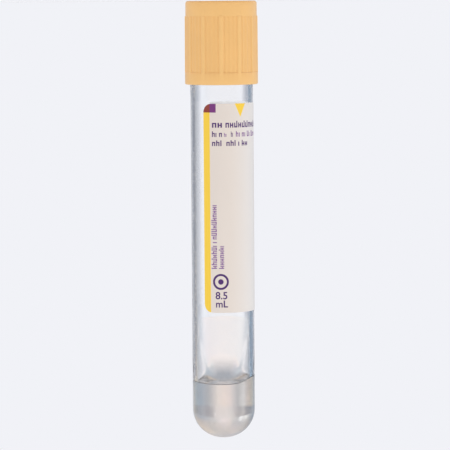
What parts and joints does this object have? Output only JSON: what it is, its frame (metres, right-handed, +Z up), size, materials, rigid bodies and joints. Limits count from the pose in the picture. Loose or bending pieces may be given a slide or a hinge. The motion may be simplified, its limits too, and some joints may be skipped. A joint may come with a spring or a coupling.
{
  "type": "blood collection tube",
  "caption": "Round-bottomed plastic blood collection tube with separator gel, wrapped label and a pull-off ribbed closure over a rubber stopper.",
  "frame": {"origin": "middle of the closure's flat crown, on the surface that the tube stands on", "axes": "+Z up along the tube's axis, from the closure that it stands on to its round end; -Y is its front, where the printed side of the label is; +X is to the right of a viewer who faces the front"},
  "size_m": [0.0182, 0.0182, 0.11],
  "materials": {
    "clear_plastic": "clear moulded polyester, glossy, with fine clot-activator speckle inside",
    "gel": "translucent beige separator gel",
    "label_paper": "satin cream label film with plain printed fields",
    "stopper_rubber": "matte moulded rubber",
    "shield_plastic": "satin moulded gold-orange plastic"
  },
  "bodies": {
    "closure": {"shield": "shield_plastic", "stopper": "stopper_rubber"},
    "tube_body": {"tube": "clear_plastic", "separator_gel": "gel", "label": "label_paper"}
  },
  "joints": [
    {"name": "closure_pull", "type": "slide", "parent": "closure", "child": "tube_body", "axis": [0, 0, 1], "range_m": [0, 0.03]}
  ]
}
